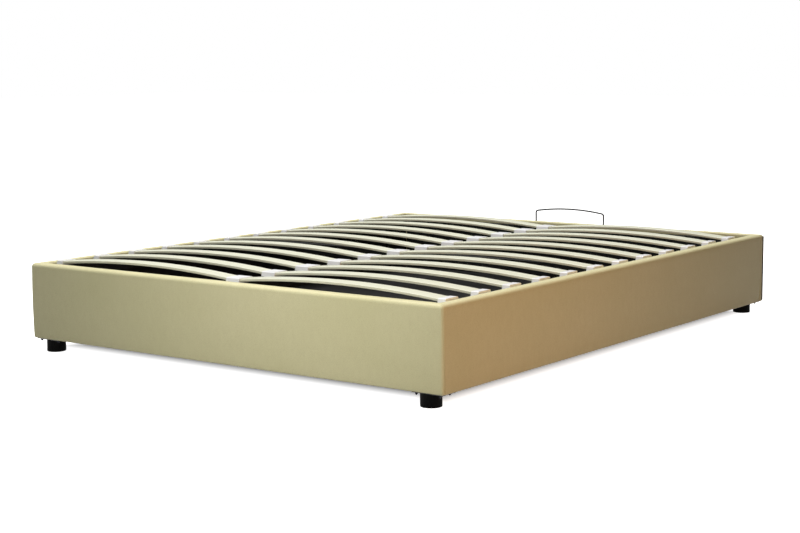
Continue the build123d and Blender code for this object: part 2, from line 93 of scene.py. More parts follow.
# Waves in the cloth, in repeats per metre along each axis, and its pull at the staples
wave_height = 0.35 * mm
slow_waves = Vector((5, 5, 9))
quick_waves = Vector((16, 16, 22))
quick_start = Vector((7, 3, 5))
quick_share = 0.5
pull_depth = 0.3 * mm
pull_reach = 35 * mm

# Rows of a cover: close together near a seam or an end, and even between
station_pitch = 12 * mm
near_stations = [value * mm for value in (0, 0.4, 0.9, 1.5, 2.2, 3.5, 6, 9.5, 14, 20, 28)]
head_stations = [value * mm for value in (0, 0.5, 1.2, 2.2, 3.5, 5, 7, 9.5, 12, 20, 35)]


# Materials: lengths in metres, texture scales in repeats per metre
class Recipe:
    """One material, with short ways to add nodes to it."""

    def __init__(self, name):
        self.material = bpy.data.materials.new(name)
        self.material.use_nodes = True
        self.tree = self.material.node_tree
        self.shader = self.tree.nodes["Principled BSDF"]

    def feed(self, socket, value):
        """Links another node's output to a socket, or sets the socket's own value."""
        if isinstance(value, bpy.types.NodeSocket):
            self.tree.links.new(value, socket)
        else:
            socket.default_value = value

    def node(self, kind, inputs=None, **settings):
        made = self.tree.nodes.new(kind)
        for key, value in settings.items():
            setattr(made, key, value)
        for key, value in (inputs or {}).items():
            self.feed(made.inputs[key], value)
        return made

    def place(self):
        return self.node("ShaderNodeTexCoord").outputs["Object"]

    def facing(self):
        """The surface's direction in the piece's own frame, as three numbers."""
        normal = self.node("ShaderNodeTexCoord").outputs["Normal"]
        return self.node("ShaderNodeSeparateXYZ", {0: normal}).outputs

    def stretched(self, vector, scale):
        return self.node("ShaderNodeMapping", {"Vector": vector, "Scale": scale}).outputs[0]

    def noise(self, vector, scale, detail=2.0, roughness=0.5):
        inputs = {"Vector": vector, "Scale": scale, "Detail": detail, "Roughness": roughness}
        return self.node("ShaderNodeTexNoise", inputs).outputs[0]

    def cells(self, vector, scale):
        return self.node("ShaderNodeTexVoronoi", {"Vector": vector, "Scale": scale}).outputs[0]

    def spread(self, value, size):
        """A value from 0 to 1 as a shift along all three axes."""
        centred = self.maths("MULTIPLY", self.maths("SUBTRACT", value, 0.5), size)
        return self.node("ShaderNodeCombineXYZ", {0: centred, 1: centred, 2: centred}).outputs[0]

    def maths(self, operation, first, second=0.0):
        return self.node("ShaderNodeMath", {0: first, 1: second}, operation=operation).outputs[0]

    def between(self, value, low, high, start=0.0, end=1.0):
        """Value from low to high becomes start to end, and stays within them."""
        inputs = {0: value, 1: low, 2: high, 3: start, 4: end}
        return self.node("ShaderNodeMapRange", inputs).outputs[0]

    def mixed(self, share, first, second):
        made = self.node("ShaderNodeMix", data_type="RGBA")
        self.feed(made.inputs[0], share)
        self.feed(made.inputs[6], first)
        self.feed(made.inputs[7], second)
        return made.outputs[2]

    def bump(self, height, distance, strength=1.0, below=None):
        inputs = {"Height": height, "Distance": distance, "Strength": strength}
        made = self.node("ShaderNodeBump", inputs)
        if below is not None:
            self.feed(made.inputs["Normal"], below)
        return made.outputs[0]

    def finish(self, **sockets):
        """Feeds the shader's sockets, named with underscores, and gives the material."""
        for key, value in sockets.items():
            self.feed(self.shader.inputs[key.replace("_", " ")], value)
        return self.material


def colour(red, green, blue):
    """A linear colour from the values that a screen shows, 0 to 255."""
    shares = [value / 255 for value in (red, green, blue)]
    linear = [s / 12.92 if s <= 0.04045 else ((s + 0.055) / 1.055) ** 2.4 for s in shares]
    return (*linear, 1.0)


def upholstery_material():
    """Cream coated cloth with a fine pebbled grain, and painted shade: a little darker along its wrinkles
    and in the creases between the pebbles.
    """
    recipe = Recipe("upholstery_leather")
    place = recipe.place()
    warp = recipe.noise(place, 240.0, detail=2.0)
    shifted = recipe.node(
        "ShaderNodeVectorMath", {0: place, 1: recipe.spread(warp, 1.5 * mm)}, operation="ADD"
    ).outputs[0]
    cells = recipe.cells(shifted, 900.0)
    pebble = recipe.between(cells, 0.15, 0.75, start=1.0, end=0.0)
    fine = recipe.noise(place, 2400.0, detail=3.0, roughness=0.6)
    wrinkle = recipe.noise(recipe.stretched(place, (60, 60, 25)), 1.0, detail=4.0, roughness=0.6)
    patch = recipe.noise(place, 3.0, detail=3.0)
    tone = recipe.mixed(recipe.between(patch, 0.3, 0.7), colour(219, 214, 172), colour(225, 219, 180))
    # Painted shade: a little darker along the cloth's wrinkles
    painted_crease_shade = recipe.between(wrinkle, 0.35, 0.7, start=0.0, end=0.35)
    tone = recipe.mixed(painted_crease_shade, tone, colour(214, 207, 166))
    # Painted shade: darker in the creases between the pebbles
    painted_shade_between_pebbles = recipe.between(pebble, 0.0, 0.35, start=0.3, end=0.0)
    tone = recipe.mixed(painted_shade_between_pebbles, tone, colour(176, 166, 122))
    below = recipe.bump(wrinkle, distance=0.2 * mm, strength=0.35)
    height = recipe.maths("ADD", pebble, recipe.maths("MULTIPLY", fine, 0.4))
    grain = recipe.bump(height, distance=0.1 * mm, strength=0.5, below=below)
    rough = recipe.between(recipe.maths("ADD", pebble, fine), 0.4, 1.6, start=0.56, end=0.44)
    return recipe.finish(Base_Color=tone, Roughness=rough, Normal=grain, Specular_IOR_Level=0.2)


def dust_cloth_material():
    """Black spun-bonded cloth, dimpled all over."""
    recipe = Recipe("dust_cloth")
    place = recipe.place()
    cells = recipe.cells(place, 650.0)
    fibre = recipe.noise(recipe.stretched(place, (900, 900, 900)), 1.0, detail=3.0, roughness=0.7)
    tone = recipe.mixed(recipe.between(fibre, 0.35, 0.65), colour(22, 21, 22), colour(46, 44, 45))
    height = recipe.maths("ADD", recipe.between(cells, 0.0, 0.5), fibre)
    dimples = recipe.bump(height, distance=0.15 * mm, strength=0.7)
    return recipe.finish(Base_Color=tone, Roughness=0.85, Normal=dimples)


def board_material(name, dark, light, grain_along):
    """Foil-faced board with a faint printed grain; grain_along is how it is stretched."""
    recipe = Recipe(name)
    place = recipe.place()
    grain = recipe.noise(recipe.stretched(place, grain_along), 1.0, detail=5.0, roughness=0.65)
    speck = recipe.noise(place, 900.0, detail=2.0)
    tone = recipe.mixed(recipe.between(grain, 0.35, 0.68), dark, light)
    tone = recipe.mixed(recipe.between(speck, 0.6, 0.75, start=0.0, end=0.3), tone, light)
    rough = recipe.between(grain, 0.3, 0.7, start=0.5, end=0.62)
    height = recipe.maths("ADD", grain, recipe.maths("MULTIPLY", speck, 0.3))
    bumps = recipe.bump(height, distance=0.1 * mm, strength=0.5)
    return recipe.finish(Base_Color=tone, Roughness=rough, Normal=bumps)


def powder_coat_material():
    """Black powder coat on steel: orange peel, and paler where edges rub."""
    recipe = Recipe("powder_coat")
    place = recipe.place()
    peel = recipe.noise(place, 1100.0, detail=2.0)
    wear = recipe.noise(place, 60.0, detail=4.0, roughness=0.7)
    edge = recipe.node("ShaderNodeNewGeometry").outputs["Pointiness"]
    rubbed = recipe.maths("MULTIPLY", recipe.between(edge, 0.52, 0.6), recipe.between(wear, 0.5, 0.7))
    tone = recipe.mixed(recipe.between(wear, 0.3, 0.7), colour(20, 20, 21), colour(30, 30, 31))
    tone = recipe.mixed(rubbed, tone, colour(38, 38, 39))
    rough = recipe.between(peel, 0.3, 0.7, start=0.36, end=0.5)
    bumps = recipe.bump(peel, distance=0.04 * mm, strength=0.3)
    return recipe.finish(Base_Color=tone, Roughness=rough, Normal=bumps)


def zinc_material(name, dark, light, rough):
    """Zinc plate on steel: faint clouding and fine rolling marks."""
    recipe = Recipe(name)
    place = recipe.place()
    cloud = recipe.noise(place, 45.0, detail=4.0, roughness=0.6)
    marks = recipe.noise(recipe.stretched(place, (900, 60, 900)), 1.0, detail=2.0)
    tone = recipe.mixed(recipe.between(cloud, 0.3, 0.7), dark, light)
    rough = recipe.between(recipe.maths("ADD", cloud, marks), 0.7, 1.3, *rough)
    bumps = recipe.bump(marks, distance=0.04 * mm, strength=0.4)
    return recipe.finish(Base_Color=tone, Metallic=1.0, Roughness=rough, Normal=bumps)


def moulded_material(name, dark, light, rough, texture_scale, shine=0.5):
    """Moulded plastic or rubber with a fine eroded texture."""
    recipe = Recipe(name)
    place = recipe.place()
    flow = recipe.noise(place, 25.0, detail=3.0)
    texture = recipe.noise(place, texture_scale, detail=3.0, roughness=0.6)
    tone = recipe.mixed(recipe.between(flow, 0.3, 0.7), dark, light)
    rough = recipe.between(texture, 0.3, 0.7, *rough)
    bumps = recipe.bump(texture, distance=0.08 * mm, strength=0.45)
    return recipe.finish(Base_Color=tone, Roughness=rough, Normal=bumps, Specular_IOR_Level=shine)


def slat_material():
    """Pale veneer with grain along the slat, and its plies along both edges."""
    recipe = Recipe("slat_veneer")
    place = recipe.place()
    parts = recipe.node("ShaderNodeSeparateXYZ", {0: place}).outputs
    grain = recipe.noise(recipe.stretched(place, (5, 230, 60)), 1.0, detail=6.0, roughness=0.65)
    pores = recipe.noise(recipe.stretched(place, (22, 1500, 300)), 1.0, detail=2.0)
    patch = recipe.noise(recipe.stretched(place, (1.6, 7.0, 1.0)), 1.0, detail=2.0)
    face = recipe.mixed(recipe.between(grain, 0.32, 0.68), colour(238, 239, 222), colour(228, 229, 207))
    face = recipe.mixed(recipe.between(pores, 0.6, 0.74, start=0.0, end=0.4), face, colour(196, 190, 160))
    face = recipe.mixed(recipe.between(patch, 0.3, 0.7, start=0.0, end=0.35), face, colour(233, 232, 212))
    half_span = (slat_high.x - slat_low.x) / 2
    middle = (slat_high.x + slat_low.x) / 2
    offset = recipe.maths("SUBTRACT", recipe.maths("ABSOLUTE", parts[0]), middle)
    share = recipe.maths("POWER", recipe.maths("DIVIDE", offset, half_span), 2.0)
    arch = recipe.maths("MULTIPLY", recipe.maths("SUBTRACT", 1.0, share), slat_rise)
    height = recipe.maths("SUBTRACT", recipe.maths("SUBTRACT", parts[2], slat_low.z), arch)
    ply = recipe.maths("FRACT", recipe.maths("MULTIPLY", height, ply_count / slat_thickness))
    glue = recipe.maths("LESS_THAN", recipe.maths("ABSOLUTE", recipe.maths("SUBTRACT", ply, 0.5)), 0.42)
    plies = recipe.mixed(glue, colour(206, 200, 172), colour(236, 236, 216))
    sideways = recipe.between(recipe.maths("ABSOLUTE", recipe.facing()[1]), 0.75, 0.9)
    tone = recipe.mixed(sideways, face, plies)
    rough = recipe.between(grain, 0.3, 0.7, start=0.34, end=0.46)
    bumps = recipe.bump(recipe.maths("ADD", grain, pores), distance=0.12 * mm, strength=0.35)
    return recipe.finish(Base_Color=tone, Roughness=rough, Normal=bumps)


upholstery = upholstery_material()
dust_cloth = dust_cloth_material()
dark_board = board_material(
    "dark_board_foil", colour(10, 9, 10), colour(22, 20, 21), grain_along=(60, 3, 60)
)
floor_board = board_material(
    "floor_hardboard", colour(13, 12, 12), colour(26, 24, 24), grain_along=(40, 2.5, 40)
)
powder_coat = powder_coat_material()
zinc = zinc_material("zinc_plate", colour(150, 152, 156), colour(196, 198, 202), rough=(0.28, 0.5))
dark_zinc = zinc_material("dark_zinc", colour(34, 34, 40), colour(56, 56, 64), rough=(0.34, 0.5))
pad_rubber = moulded_material(
    "pad_rubber", colour(26, 26, 26), colour(38, 38, 37), rough=(0.7, 0.85), texture_scale=1500.0
)
cap_plastic = moulded_material(
    "cap_plastic", colour(238, 238, 241), colour(246, 246, 248), rough=(0.34, 0.46), texture_scale=1200.0
)
leg_plastic = moulded_material(
    "leg_plastic", colour(3, 3, 3), colour(8, 8, 8), rough=(0.55, 0.7), texture_scale=1400.0, shine=0.05
)
strut_paint = moulded_material(
    "strut_paint", colour(12, 12, 13), colour(20, 20, 21), rough=(0.18, 0.3), texture_scale=700.0
)
chrome = zinc_material("strut_chrome", colour(196, 198, 202), colour(222, 224, 228), rough=(0.06, 0.16))
slat_veneer = slat_material()
steel_plates = ("leg_plates", "corner_brackets", "mattress_stop_bar")


def finish_of(node):
    """The material of a CAD node."""
    if node.startswith("slat_"):
        return slat_veneer
    if node.startswith("leg_") and node != "leg_plates":
        return leg_plastic
    if node.startswith("strut_cylinder"):
        return strut_paint
    if node.startswith("strut_rod"):
        return chrome
    if node in ("end_caps", "centre_caps"):
        return cap_plastic
    if node == "rest_pads":
        return pad_rubber
    if node in ("screws", "hinge_pins"):
        return zinc
    if node == "floor_panels":
        return floor_board
    if "rail" in node or "hinge_plate" in node or node in steel_plates:
        return powder_coat
    return dark_board


for name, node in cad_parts.items():
    node.data.materials.clear()
    node.data.materials.append(finish_of(name))


# Mesh helpers
def new_piece(name, mesh, material, body):
    """A piece of a mesh, in one material, that rides on a body."""
    mesh.materials.append(material)
    piece = bpy.data.objects.new(name, mesh)
    bpy.context.scene.collection.objects.link(piece)
    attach(piece, body)
    return piece


def arc(centre, radius, start, end, steps):
    """Points on an arc, angles in degrees, both ends included."""
    points = []
    for index in range(steps + 1):
        angle = math.radians(start + (end - start) * index / steps)
        points.append((centre[0] + radius * math.cos(angle), centre[1] + radius * math.sin(angle)))
    return points


def line(start, end, steps):
    """Points on a line, without its ends."""
    shares = [index / steps for index in range(1, steps)]
    return [(start[0] + (end[0] - start[0]) * s, start[1] + (end[1] - start[1]) * s) for s in shares]


def rolled(distance, radius):
    """How far a surface has turned in at a distance from its end."""
    if distance >= radius:
        return 0.0
    return radius - math.sqrt(radius**2 - (radius - distance) ** 2)


def join_rings(bm, rings):
    """Faces between each closed ring of points and the next."""
    count = len(rings[0])
    for ring, following in zip(rings, rings[1:]):
        for step in range(count):
            after = (step + 1) % count
            bm.faces.new((ring[step], following[step], following[after], ring[after]))


def closed_sweep(bm, rings):
    """Joined rings with a face at both ends; gives these two faces."""
    join_rings(bm, rings)
    return [bm.faces.new(rings[0]), bm.faces.new(rings[-1])]


def smooth_mesh(bm, name):
    """A mesh of the finished faces, smooth all over."""
    mesh = bpy.data.meshes.new(name)
    bm.to_mesh(mesh)
    bm.free()
    mesh.polygons.foreach_set("use_smooth", [True] * len(mesh.polygons))
    return mesh


def outward_mesh(bm, name):
    """A smooth mesh with its faces turned outwards."""
    bmesh.ops.recalc_face_normals(bm, faces=bm.faces)
    return smooth_mesh(bm, name)


def thicken(piece, thickness, side):
    """Gives a skin its thickness: inwards for -1, outwards for 1."""
    skin = piece.modifiers.new("thickness", "SOLIDIFY")
    skin.thickness = thickness
    skin.offset = side


def swept_cloth(name, rows):
    """A closed sweep: rows of points round a section, and its two ends."""
    bm = bmesh.new()
    grid = [[bm.verts.new(point) for point in row] for row in rows]
    bmesh.ops.triangulate(bm, faces=closed_sweep(bm, grid))
    return outward_mesh(bm, name)


# Padded panels at the sides and the foot
def sinking(points, sink):
    """Section points, each with how far it may sink where the cover turns in at a seam."""
    return [(*point, sink) for point in points]


def panel_section():
    """Points round a cover as depth from its outer face, height and sink, ending at the board."""
    board_inner = half_width - side_board_low.x + cloth_fit
    board_outer = half_width - side_board_high.x - cloth_fit
    board_under = side_board_low.z - cloth_fit
    board_over = side_board_high.z + cloth_fit
    flap_end = board_inner - cloth_fit
    face_low = panel_bottom + bottom_radius
    face_high = panel_top - top_radius
    inner_top = panel_thickness - inner_radius
    inner_high = panel_top - inner_radius
    hem = (panel_thickness - hem_radius, return_bottom + hem_radius)
    under = [(flap_end, panel_bottom)]
    under += line((flap_end, panel_bottom), (bottom_radius, panel_bottom), 4)
    front = arc((bottom_radius, face_low), bottom_radius, 270, 180, 5)
    for depth, height in line((0, face_low), (0, face_high), 16):
        share = 2 * (height - face_low) / (face_high - face_low) - 1
        front.append((depth - face_crown * (1 - share**2), height))
    front += arc((top_radius, face_high), top_radius, 180, 90, 9)
    for depth, height in line((top_radius, panel_top), (inner_top, panel_top), 5):
        share = 2 * (depth - top_radius) / (inner_top - top_radius) - 1
        front.append((depth, height + top_crown * (1 - share**2)))
    back = arc((inner_top, inner_high), inner_radius, 90, 0, 5)
    back += line((panel_thickness, inner_high), (panel_thickness, hem[1]), 6)
    inside = arc(hem, hem_radius, 0, -180, 4)
    inside += [(board_inner, board_over), (board_outer, board_over)]
    inside += [(board_outer, board_under), (flap_end, board_under)]
    section = sinking(under, thin_sink) + sinking(front, deep_sink)
    return section + sinking(back, thin_sink) + sinking(inside, 0.0)


def inward(section):
    """For each point of a section, the unit direction into the panel."""
    directions = []
    count = len(section)
    for index in range(count):
        before = section[index - 1]
        after = section[(index + 1) % count]
        run = (after[0] - before[0], after[1] - before[1])
        size = math.hypot(*run) or 1.0
        directions.append((run[1] / size, -run[0] / size))
    return directions


def seam_lean(height):
    """Where a foot corner's seam lies: from the corner, towards the side face."""
    share = (height - panel_bottom) / panel_height
    return seam_lean_bottom + (seam_lean_top - seam_lean_bottom) * share


def round_upright(side_depth, foot_depth):
    """Rounds a foot corner's upright edge: both depths are from the outer faces."""
    shallow = min(side_depth, foot_depth)
    deep = max(side_depth, foot_depth)
    if deep >= upright_radius:
        return side_depth, foot_depth
    radius = upright_radius - shallow
    turn = math.pi / 4 * (1 - (deep - shallow) / radius)
    far = upright_radius - radius * math.cos(turn)
    near = upright_radius - radius * math.sin(turn)
    return (far, near) if side_depth < foot_depth else (near, far)


def from_seam(depth, distance, lean):
    """At a distance from a foot corner's seam, the depths behind the cover's face and the other."""
    past_corner = lean - distance
    if past_corner > 0:
        return depth + past_corner, depth
    return depth, depth - past_corner


def relief(place, height, length):
    """How far the cloth lies off its even shape: slow waves, and pulls at the staples below."""
    waves = noise.noise(place * slow_waves)
    waves += quick_share * noise.noise(place * quick_waves + quick_start)
    near_edge = max(0.0, 1 - (height - panel_bottom) / pull_reach)
    pull = near_edge**2 * (1 + math.cos(2 * math.pi * length / staple_pitch)) / 2
    return wave_height * waves - pull_depth * pull


def stations_from_seam(middle_length):
    """Close stations at a seam, then even ones: a distance, and a share of the middle."""
    steps = round(middle_length / station_pitch)
    stations = [(distance, 0.0) for distance in near_stations[:-1]]
    return stations + [(near_stations[-1], index / steps) for index in range(steps + 1)]


def side_cover(name, sign):
    """The right or left side's cover, from the foot corner's seam to the head panel."""
    section = panel_section()
    directions = inward(section)
    head_end = head_low.y + half_length
    stations = stations_from_seam(head_end - 2 * near_stations[-1])
    stations += [(distance, None) for distance in reversed(near_stations[:-1])]
    rows = []
    for distance, share in stations:
        row = []
        for (depth, height, sink), (inside_x, inside_z) in zip(section, directions):
            lean = -seam_lean(height)
            whole = head_end - depth + lean
            if share is None:
                along = whole - distance
                sunk = rolled(distance, joint_roll) / joint_roll * sink
            else:
                along = distance + share * (whole - 2 * near_stations[-1])
                sunk = rolled(along, seam_roll) / joint_roll * sink
            own, other = from_seam(depth + sunk * inside_x, along, lean)
            side_depth, foot_depth = round_upright(own, other)
            place = Vector((half_width - side_depth, foot_depth - half_length, height + sunk * inside_z))
            if sink > thin_sink:
                lift = relief(place, height, foot_depth)
                place.x -= lift * inside_x
                place.z -= lift * inside_z
            place.x *= sign
            row.append(place)
        rows.append(row)
    return swept_cloth(name, rows)


def foot_cover(name):
    """The foot end's cover, between the seams of both foot corners."""
    section = panel_section()
    directions = inward(section)
    stations = stations_from_seam(half_width - near_stations[-1])
    stations = [(1, *station) for station in stations] + [(-1, *station) for station in stations[-2::-1]]
    rows = []
    for sign, distance, share in stations:
        row = []
        for (depth, height, sink), (inside_x, inside_z) in zip(section, directions):
            lean = seam_lean(height)
            whole = half_width - depth + lean
            along = distance + share * (whole - near_stations[-1])
            sunk = rolled(along, seam_roll) / joint_roll * sink
            own, other = from_seam(depth + sunk * inside_x, along, lean)
            foot_depth, side_depth = round_upright(own, other)
            x = sign * (half_width - side_depth)
            place = Vector((x, foot_depth - half_length, height + sunk * inside_z))
            if sink > thin_sink:
                lift = relief(place, height, side_depth)
                place.y -= lift * inside_x
                place.z -= lift * inside_z
            row.append(place)
        rows.append(row)
    return swept_cloth(name, rows)


for sign, node in ((1, "side_cover_right"), (-1, "side_cover_left")):
    name = node + "_cloth"
    piece = new_piece(name, side_cover(name, sign), upholstery, "base")
    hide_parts(node)
piece = new_piece("foot_cover_cloth", foot_cover("foot_cover_cloth"), upholstery, "base")
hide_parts("foot_cover")

# Head panel: a skin over the board, open where the board shows inside and behind
end_columns = 6
face_slack = 0.1 * mm
top_slack = 1 * mm


def head_section():
    """Points round the head panel from its underside's middle, up the front and down the back."""
    front = head_low.y
    back = head_high.y
    middle = (front + back) / 2
    front_low = panel_bottom + front_edge_radius
    front_high = panel_top - inner_radius
    back_low = panel_bottom + bottom_radius
    back_high = panel_top - top_radius
    opening_low = panel_bottom + back_margin
    opening_high = panel_top - back_margin
    up = [(middle, panel_bottom)]
    up += arc((front + front_edge_radius, front_low), front_edge_radius, 270, 180, 3)
    up += line((front, front_low), (front, return_bottom), 12)
    up += [(front, return_bottom)]
    up += line((front, return_bottom), (front, front_high), 5)
    up += arc((front + inner_radius, front_high), inner_radius, 180, 90, 6)
    down = [(middle, panel_top)]
    down += arc((back - top_radius, back_high), top_radius, 90, 0, 7)
    down += line((back, back_high), (back, opening_high), 3)
    down += [(back, opening_high)]
    down += line((back, opening_high), (back, opening_low), 14)
    down += [(back, opening_low)]
    down += line((back, opening_low), (back, back_low), 3)
    down += arc((back - bottom_radius, back_low), bottom_radius, 0, -90, 4)
    return up + down


def squeezed(value, low, high, new_low, new_high):
    """A value between low and high, brought to the same share between the new ones."""
    return new_low + (value - low) * (new_high - new_low) / (high - low)


def head_rows():
    """Rows of points from the left end to the right, with all edges rounded at both ends."""
    width = 2 * half_width
    middle_width = width - 2 * head_stations[-1]
    steps = round(middle_width / station_pitch)
    middle = [head_stations[-1] + middle_width * index / steps for index in range(1, steps)]
    section = head_section()
    rows = []
    for station in head_stations + middle + [width - value for value in reversed(head_stations)]:
        distance = min(station, width - station)
        front = head_low.y + rolled(distance, joint_roll)
        back = head_high.y - rolled(distance, back_upright_radius)
        top = panel_top - rolled(distance, top_radius)
        bottom = panel_bottom + rolled(distance, bottom_radius)
        row = []
        for y, z in section:
            place = Vector((
                station - half_width,
                squeezed(y, head_low.y, head_high.y, front, back),
                squeezed(z, panel_bottom, panel_top, bottom, top),
            ))
            if z > panel_top - top_slack:
                place.z += relief(place, z, place.x)
            row.append(place)
        rows.append(row)
    return rows


def close_end(bm, row):
    """Fills one end of the head panel with lines of faces from its front to its back."""
    filled = []
    for index in range(1, len(row) // 2 + 1):
        front, back = row[index], row[-index]
        shares = [step / end_columns for step in range(1, end_columns)]
        filled.append([front, *[bm.verts.new(front.co.lerp(back.co, share)) for share in shares], back])
    for low, high in zip(filled, filled[1:]):
        for step in range(end_columns):
            bm.faces.new((low[step], low[step + 1], high[step + 1], high[step]))
    bm.faces.new([row[0], *filled[0]])


def in_opening(place):
    """Whether a place on the skin is where the board shows, in front or behind."""
    inside = abs(place.x) < half_width - panel_thickness
    at_front = place.y < head_low.y + face_slack and place.z < return_bottom
    from_middle = abs(place.z - (panel_top + panel_bottom) / 2)
    at_back = place.y > head_high.y - face_slack and from_middle < panel_height / 2 - back_margin
    return inside and (at_front or at_back)


def head_cover():
    """The head panel's skin, with the faces in both openings taken out."""
    bm = bmesh.new()
    grid = [[bm.verts.new(point) for point in row] for row in head_rows()]
    join_rings(bm, grid)
    close_end(bm, grid[0])
    close_end(bm, grid[-1])
    bmesh.ops.recalc_face_normals(bm, faces=bm.faces)
    bmesh.ops.triangulate(bm, faces=[face for face in bm.faces if len(face.verts) > 4])
    opened = [face for face in bm.faces if in_opening(face.calc_center_median())]
    bmesh.ops.delete(bm, geom=opened, context="FACES")
    return smooth_mesh(bm, "head_cover_cloth")


piece = new_piece("head_cover_cloth", head_cover(), upholstery, "base")
thicken(piece, cloth_thickness, -1)
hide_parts("head_cover")


# Round rods for the small metal parts; each kind of part is one mesh
def along_frame(direction):
    """Two unit directions square to a direction."""
    side = direction.cross(Vector((0, 0, 1)))
    if side.length < 0.1:
        side = direction.cross(Vector((1, 0, 0)))
    side.normalize()
    return side, direction.cross(side).normalized()


def sweep_rod(bm, points, radii, sides):
    """A closed round rod along points, with a radius at each."""
    rings = []
    for index, point in enumerate(points):
        before = points[max(index - 1, 0)]
        after = points[min(index + 1, len(points) - 1)]
        side, up = along_frame((after - before).normalized())
        ring = []
        for step in range(sides):
            turn = 2 * math.pi * step / sides
            offset = (side * math.cos(turn) + up * math.sin(turn)) * radii[index]
            ring.append(bm.verts.new(point + offset))
        rings.append(ring)
    closed_sweep(bm, rings)


# Back cloth: thin black cloth stretched over the head panel's back and folded round its uprights
back_cloth_thickness = 0.5 * mm
back_cloth_low = panel_bottom + 6 * mm
back_cloth_high = panel_top - 7 * mm
back_pitch = 9 * mm
back_fold = 7 * mm
fold_steps = 3
turn_steps = 6
cloth_lift = 0.35 * mm
slack_start = 30 * mm
slack_depth = 0.9 * mm
ripple_height = 0.5 * mm
ripple_waves = (9, 22)
hem_reach = 16 * mm
hem_press = 0.15 * mm
hem_wave = 0.4 * mm


def back_path():
    """Points across the back as x and y, with a fold of cloth round both upright edges."""
    centre_x = half_width - back_upright_radius
    centre_y = head_high.y - back_upright_radius
    radius = back_upright_radius + cloth_lift
    shares = [1 - step / fold_steps for step in range(fold_steps)]
    turned = [(-centre_x - radius, centre_y - back_fold * share) for share in shares]
    for step in range(turn_steps + 1):
        turn = math.pi / 2 * (1 - step / turn_steps)
        turned.append((-centre_x - radius * math.sin(turn), centre_y + radius * math.cos(turn)))
    steps = round(2 * centre_x / back_pitch)
    middle = [-centre_x + 2 * centre_x * step / steps for step in range(1, steps)]
    flat = [(x, head_high.y + cloth_lift) for x in middle]
    return turned + flat + [(-x, y) for x, y in reversed(turned)]


def back_cloth():
    """The sheet, sunk and rippled in its middle, with edges that wave at the staples' pitch."""
    path = back_path()
    height = back_cloth_high - back_cloth_low
    row_count = round(height / back_pitch)
    bm = bmesh.new()
    rows = []
    for index in range(row_count + 1):
        z = back_cloth_low + height * index / row_count
        row = []
        for x, y in path:
            edge = min(z - back_cloth_low, back_cloth_high - z, half_width - abs(x))
            slack = min(1.0, max(0.0, edge - slack_start) / slack_start)
            ripple = noise.noise(Vector((x * ripple_waves[0], z * ripple_waves[1], 4.0)))
            hem = math.cos(2 * math.pi * x / staple_pitch) * max(0.0, 1 - edge / hem_reach)
            if abs(x) < half_width - back_upright_radius:
                y -= slack * (slack_depth + ripple_height * ripple) + hem_press * hem
            row.append(bm.verts.new((x, y, z - hem_wave * hem if index == 0 else z)))
        rows.append(row)
    for row, following in zip(rows, rows[1:]):
        for step in range(len(path) - 1):
            bm.faces.new((row[step], row[step + 1], following[step + 1], following[step]))
    return outward_mesh(bm, "back_cloth_sheet")


piece = new_piece("back_cloth_sheet", back_cloth(), dust_cloth, "base")
thicken(piece, back_cloth_thickness, 1)
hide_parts("back_cloth")

# Staples: short wire crowns along the edges of the covers and the back cloth
staple_crown = 10 * mm
staple_wire = 0.9 * mm
staple_bend = 0.6 * staple_wire
staple_rise_share = 0.1
staple_drop_share = 0.9
staple_drift = 2 * mm
staple_tilt = 0.12
staple_lift = 0.2 * mm
back_staple_lift = 0.6 * mm
hem_to_staple = 7 * mm
back_staple_margin = 26 * mm
low_staple_inset = 24 * mm
corner_margin = 150 * mm
inside_margin = 30 * mm


def staple(bm, centre, along, out):
    """A staple's crown with its ends bent in."""
    half = staple_crown / 2
    bend = half - staple_bend
    lift = out * staple_wire * staple_rise_share
    drop = out * staple_wire * staple_drop_share
    points = [
        centre - along * half - drop,
        centre - along * bend + lift,
        centre + along * bend + lift,
        centre + along * half - drop,
    ]
    sweep_rod(bm, points, [staple_wire / 2] * len(points), 6)


def stapled_row(bm, start, end, out):
    """Staples from start to end, a little uneven."""
    run = Vector(end) - Vector(start)
    direction = run.normalized()
    sideways = run.cross(Vector(out)).normalized()
    count = round(run.length / staple_pitch)
    for index in range(count + 1):
        drift = direction * random.uniform(-staple_drift, staple_drift)
        tilted = direction + sideways * random.uniform(-staple_tilt, staple_tilt)
        staple(bm, Vector(start) + run * (index / count) + drift, tilted.normalized(), Vector(out))


def staples():
    """Rows on the back, under the side and foot panels, and inside all four along the hems."""
    random.seed(7)
    bm = bmesh.new()
    back_y = head_high.y + cloth_lift + back_staple_lift
    reach = half_width - back_staple_margin
    for z in (back_cloth_low + hem_to_staple, back_cloth_high - hem_to_staple):
        stapled_row(bm, (-reach, back_y, z), (reach, back_y, z), (0, 1, 0))
    under = panel_bottom - staple_lift
    reach = half_length - corner_margin
    for x in (low_staple_inset - half_width, half_width - low_staple_inset):
        stapled_row(bm, (x, -reach, under), (x, reach, under), (0, 0, -1))
    foot_y = low_staple_inset - half_length
    reach = half_width - corner_margin
    stapled_row(bm, (-reach, foot_y, under), (reach, foot_y, under), (0, 0, -1))
    hem_z = return_bottom + hem_to_staple
    face_x = half_width - panel_thickness - staple_lift
    foot_end = panel_thickness + inside_margin - half_length
    head_end = head_low.y - inside_margin
    for sign in (-1, 1):
        x = sign * face_x
        stapled_row(bm, (x, foot_end, hem_z), (x, head_end, hem_z), (-sign, 0, 0))
    reach = face_x - inside_margin
    foot_face = panel_thickness + staple_lift - half_length
    head_face = head_low.y - staple_lift
    for y, out in ((foot_face, 1), (head_face, -1)):
        stapled_row(bm, (-reach, y, hem_z), (reach, y, hem_z), (0, out, 0))
    return outward_mesh(bm, "staples")


new_piece("staples", staples(), zinc, "base")

